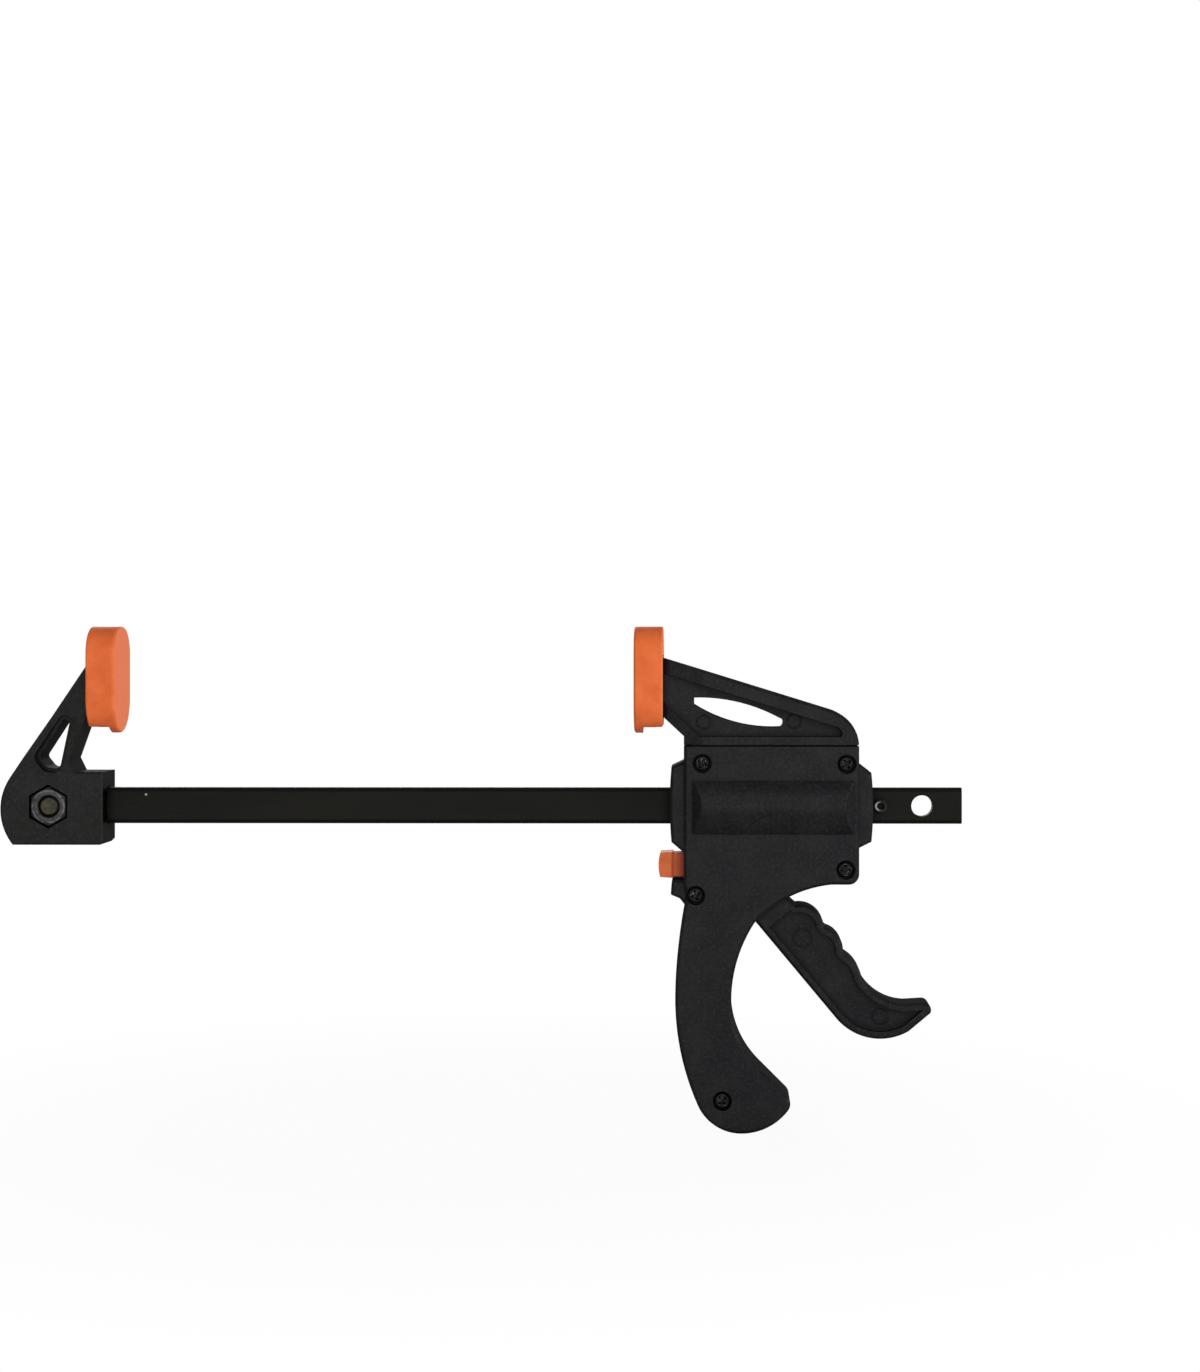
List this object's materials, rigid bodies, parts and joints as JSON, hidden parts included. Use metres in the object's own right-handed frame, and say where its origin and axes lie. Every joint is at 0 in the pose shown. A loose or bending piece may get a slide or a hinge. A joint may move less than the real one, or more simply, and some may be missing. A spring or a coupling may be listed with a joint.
{
  "type": "quick release bar clamp",
  "caption": "One-handed bar clamp with a flat steel bar, a fixed jaw, a trigger-driven sliding jaw, soft pads, a release button and a wing screw.",
  "frame": {"origin": "centre of the fixed pad's working face", "axes": "+X along the bar from the fixed jaw to the moving jaw, +Z from the bar towards the pads, -Y towards the cover with the screws"},
  "size_m": [0.2791, 0.0299, 0.1464],
  "materials": {
    "bar_steel": "black oxide, satin",
    "pin_steel": "dark spring steel with bright edges",
    "black_nylon": "fine spark texture",
    "pad_orange": "smooth soft matte",
    "button_orange": "matte",
    "knob_orange": "matte",
    "zinc": "zinc plated, dull",
    "bolt_brass": "yellow passivated, dull",
    "screw_black": "black zinc",
    "plate_steel": "hardened, oiled"
  },
  "bodies": {
    "bar_and_fixed_jaw": {"bar": "bar_steel", "stop_pin_jaw_end": "pin_steel", "stop_pin_free_end": "pin_steel", "fixed_jaw": "black_nylon", "fixed_pad": "pad_orange", "hex_nut": "zinc"},
    "wing_screw": {"wing_knob": "knob_orange", "clamp_bolt": "bolt_brass"},
    "moving_jaw": {"housing_front": "black_nylon", "housing_cover": "black_nylon", "housing_screws": "screw_black", "moving_pad": "pad_orange", "trigger_pin": "plate_steel", "drive_spring": "plate_steel", "lock_spring": "plate_steel"},
    "trigger": {"trigger": "black_nylon"},
    "drive_plates": {"drive_plate_1": "plate_steel", "drive_plate_2": "plate_steel"},
    "release_button": {"release_button": "button_orange"},
    "lock_plate": {"lock_plate": "plate_steel"}
  },
  "joints": [
    {"name": "jaw_slide", "type": "slide", "parent": "bar_and_fixed_jaw", "child": "moving_jaw", "axis": [1, 0, 0], "range_m": [-0.1498, 0]},
    {"name": "wing_turn", "type": "hinge", "parent": "bar_and_fixed_jaw", "child": "wing_screw", "pos_m": [-0.0198, 0, -0.0367], "axis": [0, 1, 0], "continuous": true},
    {"name": "trigger_hinge", "type": "hinge", "parent": "moving_jaw", "child": "trigger", "pos_m": [0.1865, 0, -0.0562], "axis": [0, 1, 0], "range_deg": [0, 25], "stiffness_Nm_per_rad": 0.2, "springref_deg": -11.46},
    {"name": "drive_slide", "type": "slide", "parent": "moving_jaw", "child": "drive_plates", "axis": [1, 0, 0], "range_m": [0, 0.0048], "deforming": ["drive_spring"]},
    {"name": "button_slide", "type": "slide", "parent": "moving_jaw", "child": "release_button", "axis": [1, 0, 0], "range_m": [0, 0.0028], "stiffness_N_per_m": 300, "springref_m": -0.002},
    {"name": "lock_hinge", "type": "hinge", "parent": "moving_jaw", "child": "lock_plate", "pos_m": [0.174, 0, -0.0282], "axis": [0, -1, 0], "range_deg": [0, 5.6], "deforming": ["lock_spring"]}
  ],
  "couplings": [
    {"joint": "drive_slide", "follows": "trigger_hinge", "m_per_rad": 0.01085},
    {"joint": "lock_hinge", "follows": "button_slide", "rad_per_m": 34.4}
  ]
}
